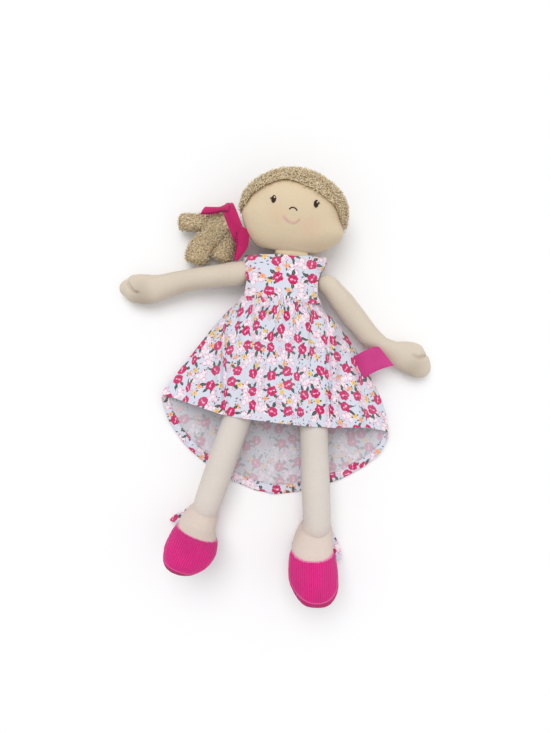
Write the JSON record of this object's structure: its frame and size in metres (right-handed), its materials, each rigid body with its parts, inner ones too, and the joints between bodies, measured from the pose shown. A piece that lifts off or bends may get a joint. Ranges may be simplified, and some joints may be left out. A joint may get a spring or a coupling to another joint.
{
  "type": "rag doll",
  "caption": "Soft cloth doll lying on its back, with a gathered floral dress, pink corduroy shoes and a plush side ponytail tied with a ribbon.",
  "frame": {"origin": "on the surface that the doll lies on, under the waist seam of its dress", "axes": "+Y to the top of the head, +Z out of the chest, so that the doll's right is -X"},
  "size_m": [0.2931, 0.3841, 0.0705],
  "materials": {
    "skin_cloth": "matte",
    "hair_plush": "matte",
    "dress_print": "matte",
    "ribbon_knit": "matte",
    "shoe_corduroy": "matte",
    "label_satin": "satin",
    "closure_tape": "matte"
  },
  "bodies": {
    "body": {"torso": "skin_cloth", "bodice_front": "dress_print", "bodice_back_right": "dress_print", "bodice_back_left": "dress_print", "hook_tape": "closure_tape", "loop_tape": "closure_tape", "skirt_front": "dress_print", "skirt_back": "dress_print"},
    "neck": {"neck": "skin_cloth"},
    "head": {"head": "skin_cloth", "hair_cap": "hair_plush", "ponytail_root": "hair_plush", "ribbon_band": "ribbon_knit"},
    "strand_upper": {"hair_strand_upper": "hair_plush"},
    "strand_middle": {"hair_strand_middle": "hair_plush"},
    "strand_lower": {"hair_strand_lower": "hair_plush"},
    "ribbon_short": {"ribbon_tail_short": "ribbon_knit"},
    "ribbon_long": {"ribbon_tail_long": "ribbon_knit"},
    "shoulder_right": {"shoulder_tab_right": "skin_cloth"},
    "shoulder_left": {"shoulder_tab_left": "skin_cloth"},
    "arm_right": {"arm_right": "skin_cloth"},
    "arm_left": {"arm_left": "skin_cloth"},
    "hip_right": {"hip_tab_right": "skin_cloth"},
    "hip_left": {"hip_tab_left": "skin_cloth"},
    "leg_right": {"leg_right": "skin_cloth"},
    "leg_left": {"leg_left": "skin_cloth"},
    "foot_right": {"foot_right": "skin_cloth", "shoe_upper_right": "shoe_corduroy", "shoe_sole_right": "shoe_corduroy"},
    "foot_left": {"foot_left": "skin_cloth", "shoe_upper_left": "shoe_corduroy", "shoe_sole_left": "shoe_corduroy"},
    "loop_right": {"heel_loop_right": "dress_print"},
    "loop_left": {"heel_loop_left": "dress_print"},
    "label": {"label_tab": "label_satin"}
  },
  "joints": [
    {"name": "neck_tilt", "type": "hinge", "parent": "body", "child": "neck", "pos_m": [0, 0.038, 0.0224], "axis": [0, 0, 1], "range_deg": [-12, 12], "deforming": ["hair_strand_lower", "hair_strand_middle", "ribbon_tail_long"]},
    {"name": "head_nod", "type": "hinge", "parent": "neck", "child": "head", "pos_m": [0.00091, 0.04796, 0.0224], "axis": [0.9959, -0.0906, 0], "range_deg": [-15, 20], "deforming": ["hair_strand_lower", "hair_strand_middle", "ribbon_tail_long"]},
    {"name": "strand_upper_lift", "type": "hinge", "parent": "head", "child": "strand_upper", "pos_m": [-0.06378, 0.06589, 0.01838], "axis": [0.1011, 0.9949, 0], "range_deg": [0, 70], "deforming": ["hair_strand_upper", "ribbon_tail_short"]},
    {"name": "strand_middle_lift", "type": "hinge", "parent": "head", "child": "strand_middle", "pos_m": [-0.06419, 0.06096, 0.01743], "axis": [-0.7597, 0.6502, 0], "range_deg": [0, 70], "deforming": ["hair_strand_middle"]},
    {"name": "strand_lower_lift", "type": "hinge", "parent": "head", "child": "strand_lower", "pos_m": [-0.05941, 0.05844, 0.01639], "axis": [-0.9988, 0.0484, 0], "range_deg": [0, 70], "deforming": ["hair_strand_lower", "ribbon_tail_long"]},
    {"name": "ribbon_short_flap", "type": "hinge", "parent": "head", "child": "ribbon_short", "pos_m": [-0.06113, 0.08369, 0.03044], "axis": [-0.2593, 0.9658, 0], "range_deg": [0, 80]},
    {"name": "ribbon_long_flap", "type": "hinge", "parent": "head", "child": "ribbon_long", "pos_m": [-0.04343, 0.05536, 0.03044], "axis": [-0.9876, 0.1571, 0], "range_deg": [0, 80]},
    {"name": "arm_right_swing", "type": "hinge", "parent": "body", "child": "shoulder_right", "pos_m": [-0.042, 0.017, 0.0224], "axis": [0, 1, 0], "range_deg": [0, 90], "deforming": ["bodice_front", "ribbon_tail_long", "hair_strand_lower", "hair_strand_middle"]},
    {"name": "arm_right_raise", "type": "hinge", "parent": "shoulder_right", "child": "arm_right", "pos_m": [-0.042, 0.017, 0.0224], "axis": [0, 0, -1], "range_deg": [-35, 40], "deforming": ["hair_strand_upper", "hair_strand_middle", "hair_strand_lower", "ribbon_tail_long", "ribbon_tail_short", "skirt_front"]},
    {"name": "arm_left_swing", "type": "hinge", "parent": "body", "child": "shoulder_left", "pos_m": [0.042, 0.017, 0.0224], "axis": [0, -1, 0], "range_deg": [0, 90], "deforming": ["bodice_front", "label_tab", "skirt_front"]},
    {"name": "arm_left_raise", "type": "hinge", "parent": "shoulder_left", "child": "arm_left", "pos_m": [0.042, 0.017, 0.0224], "axis": [0, 0, 1], "range_deg": [-3, 84], "deforming": ["label_tab", "skirt_front"]},
    {"name": "leg_right_swing", "type": "hinge", "parent": "body", "child": "hip_right", "pos_m": [-0.0315, -0.08891, 0.0224], "axis": [-1, 0, 0], "range_deg": [0, 90], "deforming": ["skirt_front"]},
    {"name": "leg_right_spread", "type": "hinge", "parent": "hip_right", "child": "leg_right", "pos_m": [-0.0315, -0.08891, 0.0224], "axis": [0, 0, -1], "range_deg": [-14, 29], "deforming": ["skirt_front"]},
    {"name": "leg_left_swing", "type": "hinge", "parent": "body", "child": "hip_left", "pos_m": [0.0315, -0.09609, 0.0224], "axis": [-1, 0, 0], "range_deg": [0, 90], "deforming": ["skirt_front"]},
    {"name": "leg_left_spread", "type": "hinge", "parent": "hip_left", "child": "leg_left", "pos_m": [0.0315, -0.09609, 0.0224], "axis": [0, 0, 1], "range_deg": [-3, 40], "deforming": ["skirt_front"]},
    {"name": "ankle_right", "type": "hinge", "parent": "leg_right", "child": "foot_right", "pos_m": [-0.06027, -0.18924, 0.02764], "axis": [0.9455, -0.3255, 0.0026], "range_deg": [-37, 29]},
    {"name": "ankle_left", "type": "hinge", "parent": "leg_left", "child": "foot_left", "pos_m": [0.04058, -0.1999, 0.03027], "axis": [0.9994, 0.035, 0.0039], "range_deg": [-54, 12]},
    {"name": "loop_right_flop", "type": "hinge", "parent": "foot_right", "child": "loop_right", "pos_m": [-0.07417, -0.18719, 0.00799], "axis": [-0.1387, 0.9903, 0], "range_deg": [0, 60]},
    {"name": "loop_left_flop", "type": "hinge", "parent": "foot_left", "child": "loop_left", "pos_m": [0.05882, -0.20234, 0.0108], "axis": [-0.8655, -0.5009, 0], "range_deg": [0, 60]},
    {"name": "label_flap", "type": "hinge", "parent": "body", "child": "label", "pos_m": [0.07485, -0.05334, 0.01727], "axis": [0.4067, -0.9136, 0], "range_deg": [0, 60]}
  ]
}
